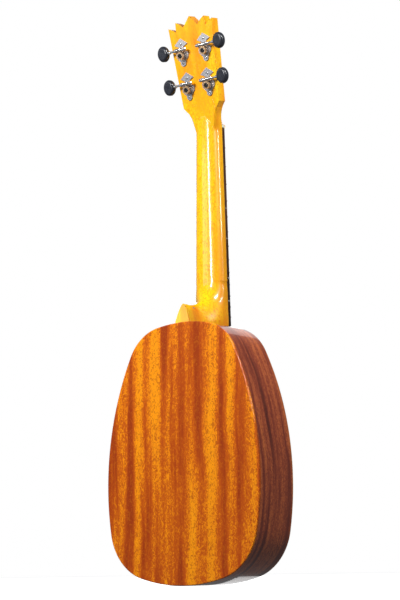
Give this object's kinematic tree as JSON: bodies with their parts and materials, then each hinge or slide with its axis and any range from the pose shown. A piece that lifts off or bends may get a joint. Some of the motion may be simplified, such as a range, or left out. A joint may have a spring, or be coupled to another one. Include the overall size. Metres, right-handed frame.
{
  "type": "ukulele",
  "caption": "Wooden tenor-size ukulele with a pineapple-shaped box body, raised fretboard, crown-shaped tilted head and open-gear tuners turning nylon strings.",
  "frame": {"origin": "bottom centre of the whole instrument's bounding box: on the centre line at the tail end of the body, midway between the front-most string and the back", "axes": "+Z from the tail up the neck to the head, +Y out of the flat back, -Y out of the soundboard towards the strings, +X to the treble side (the a string)"},
  "size_m": [0.213, 0.0788, 0.6671],
  "materials": {
    "body_wood": "gloss ribbon-figured mahogany, orange brown with darker red-brown stripes",
    "neck_wood": "gloss honey-amber mahogany",
    "inner_wood": "plain unfinished light wood",
    "dark_wood": "oiled rosewood, very dark brown",
    "bone": "polished bone",
    "inlay": "white pearl dots",
    "rosette": "inlaid ring",
    "fret_wire": "polished nickel silver",
    "nickel": "polished nickel plate",
    "cog_metal": "polished bronze",
    "button_plastic": "glossy black",
    "string_nylon": "black nylon, slightly glossy"
  },
  "bodies": {
    "instrument": {"soundboard": "body_wood", "rosette": "rosette", "back_plate": "body_wood", "bass_side": "body_wood", "treble_side": "body_wood", "front_linings": "inner_wood", "back_linings": "inner_wood", "neck_block": "inner_wood", "tail_block": "inner_wood", "soundboard_braces": "inner_wood", "back_braces": "inner_wood", "back_strip": "inner_wood", "bridge_patch": "inner_wood", "bridge": "dark_wood", "saddle": "bone", "nut": "bone", "fretboard": "dark_wood", "frets": "fret_wire", "fret_markers": "inlay", "side_dots": "inlay", "neck": "neck_wood", "heel_cap": "neck_wood", "neck_dowels": "inner_wood", "g_tuner_plate": "nickel", "g_string": "string_nylon", "c_tuner_plate": "nickel", "c_string": "string_nylon", "e_tuner_plate": "nickel", "e_string": "string_nylon", "a_tuner_plate": "nickel", "a_string": "string_nylon", "tuner_plate_screws": "nickel", "post_bushings": "nickel"},
    "g_worm_and_button": {"g_worm": "nickel", "g_button": "button_plastic"},
    "g_string_post": {"g_post": "nickel", "g_cog": "cog_metal", "g_cog_screw": "nickel", "g_winding": "string_nylon"},
    "c_worm_and_button": {"c_worm": "nickel", "c_button": "button_plastic"},
    "c_string_post": {"c_post": "nickel", "c_cog": "cog_metal", "c_cog_screw": "nickel", "c_winding": "string_nylon"},
    "e_worm_and_button": {"e_worm": "nickel", "e_button": "button_plastic"},
    "e_string_post": {"e_post": "nickel", "e_cog": "cog_metal", "e_cog_screw": "nickel", "e_winding": "string_nylon"},
    "a_worm_and_button": {"a_worm": "nickel", "a_button": "button_plastic"},
    "a_string_post": {"a_post": "nickel", "a_cog": "cog_metal", "a_cog_screw": "nickel", "a_winding": "string_nylon"}
  },
  "joints": [
    {"name": "g_button_turn", "type": "hinge", "parent": "instrument", "child": "g_worm_and_button", "pos_m": [-0.0148, 0.00008, 0.58644], "axis": [-1, 0, 0], "continuous": true},
    {"name": "g_post_turn", "type": "hinge", "parent": "instrument", "child": "g_string_post", "pos_m": [-0.0148, -0.00593, 0.58054], "axis": [0, 0.9767, -0.2147], "continuous": true},
    {"name": "c_button_turn", "type": "hinge", "parent": "instrument", "child": "c_worm_and_button", "pos_m": [-0.0166, 0.00891, 0.62658], "axis": [-1, 0, 0], "continuous": true},
    {"name": "c_post_turn", "type": "hinge", "parent": "instrument", "child": "c_string_post", "pos_m": [-0.0166, 0.0029, 0.62068], "axis": [0, 0.9767, -0.2147], "continuous": true},
    {"name": "e_button_turn", "type": "hinge", "parent": "instrument", "child": "e_worm_and_button", "pos_m": [0.0166, 0.00891, 0.62658], "axis": [1, 0, 0], "continuous": true},
    {"name": "e_post_turn", "type": "hinge", "parent": "instrument", "child": "e_string_post", "pos_m": [0.0166, 0.0029, 0.62068], "axis": [0, 0.9767, -0.2147], "continuous": true},
    {"name": "a_button_turn", "type": "hinge", "parent": "instrument", "child": "a_worm_and_button", "pos_m": [0.0148, 0.00008, 0.58644], "axis": [1, 0, 0], "continuous": true},
    {"name": "a_post_turn", "type": "hinge", "parent": "instrument", "child": "a_string_post", "pos_m": [0.0148, -0.00593, 0.58054], "axis": [0, 0.9767, -0.2147], "continuous": true}
  ],
  "couplings": [
    {"joint": "g_post_turn", "follows": "g_button_turn", "ratio": 0.071429},
    {"joint": "c_post_turn", "follows": "c_button_turn", "ratio": 0.071429},
    {"joint": "e_post_turn", "follows": "e_button_turn", "ratio": 0.071429},
    {"joint": "a_post_turn", "follows": "a_button_turn", "ratio": 0.071429}
  ]
}
